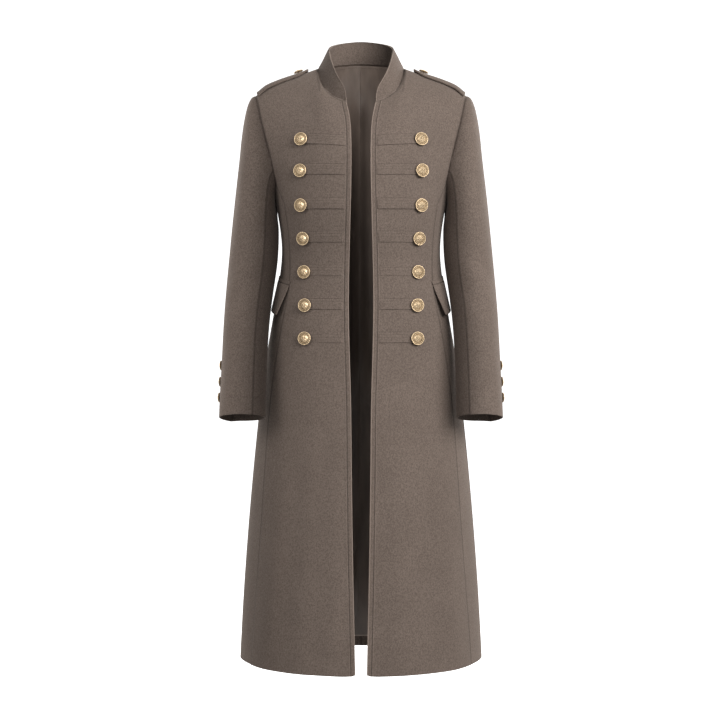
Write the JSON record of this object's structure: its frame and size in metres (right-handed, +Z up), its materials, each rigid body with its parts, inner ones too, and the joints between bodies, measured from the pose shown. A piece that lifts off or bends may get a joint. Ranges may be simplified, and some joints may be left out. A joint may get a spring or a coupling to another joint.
{
  "type": "military greatcoat",
  "caption": "Long open-front greatcoat with a standing collar, shoulder straps, paired rows of domed buttons on cloth tapes, side pocket flaps and buttoned cuffs, worn shape.",
  "frame": {"origin": "midway between the two points where the neck seam meets the shoulder seams, at their height, which is where the coat hangs on its wearer's shoulders", "axes": "+Z up along the body, -Y to the coat's front, +X to the wearer's left"},
  "size_m": [0.5168, 0.259, 1.1551],
  "materials": {
    "wool": "soft brushed wool coating, taupe brown, matt with a short nap",
    "lining": "dark brown satin lining with a soft sheen",
    "gold_metal": "polished old gold, domed face in a raised rim"
  },
  "bodies": {
    "root": {"front_left": "wool", "side_front_left": "wool", "back_left": "wool", "sleeve_top_left": "wool", "sleeve_under_left": "wool", "shoulder_strap_left": "wool", "pocket_flap_left": "wool", "pocket_welt_left": "wool", "tape_left_1": "wool", "button_left_1": "gold_metal", "tape_left_2": "wool", "button_left_2": "gold_metal", "tape_left_3": "wool", "button_left_3": "gold_metal", "tape_left_4": "wool", "button_left_4": "gold_metal", "tape_left_5": "wool", "button_left_5": "gold_metal", "tape_left_6": "wool", "button_left_6": "gold_metal", "tape_left_7": "wool", "button_left_7": "gold_metal", "shoulder_button_left": "gold_metal", "cuff_button_left_1": "gold_metal", "cuff_button_left_2": "gold_metal", "cuff_button_left_3": "gold_metal", "front_right": "wool", "side_front_right": "wool", "back_right": "wool", "sleeve_top_right": "wool", "sleeve_under_right": "wool", "shoulder_strap_right": "wool", "pocket_flap_right": "wool", "pocket_welt_right": "wool", "tape_right_1": "wool", "button_right_1": "gold_metal", "tape_right_2": "wool", "button_right_2": "gold_metal", "tape_right_3": "wool", "button_right_3": "gold_metal", "tape_right_4": "wool", "button_right_4": "gold_metal", "tape_right_5": "wool", "button_right_5": "gold_metal", "tape_right_6": "wool", "button_right_6": "gold_metal", "tape_right_7": "wool", "button_right_7": "gold_metal", "shoulder_button_right": "gold_metal", "cuff_button_right_1": "gold_metal", "cuff_button_right_2": "gold_metal", "cuff_button_right_3": "gold_metal", "collar_stand": "wool", "lining_back": "lining"}
  },
  "joints": []
}
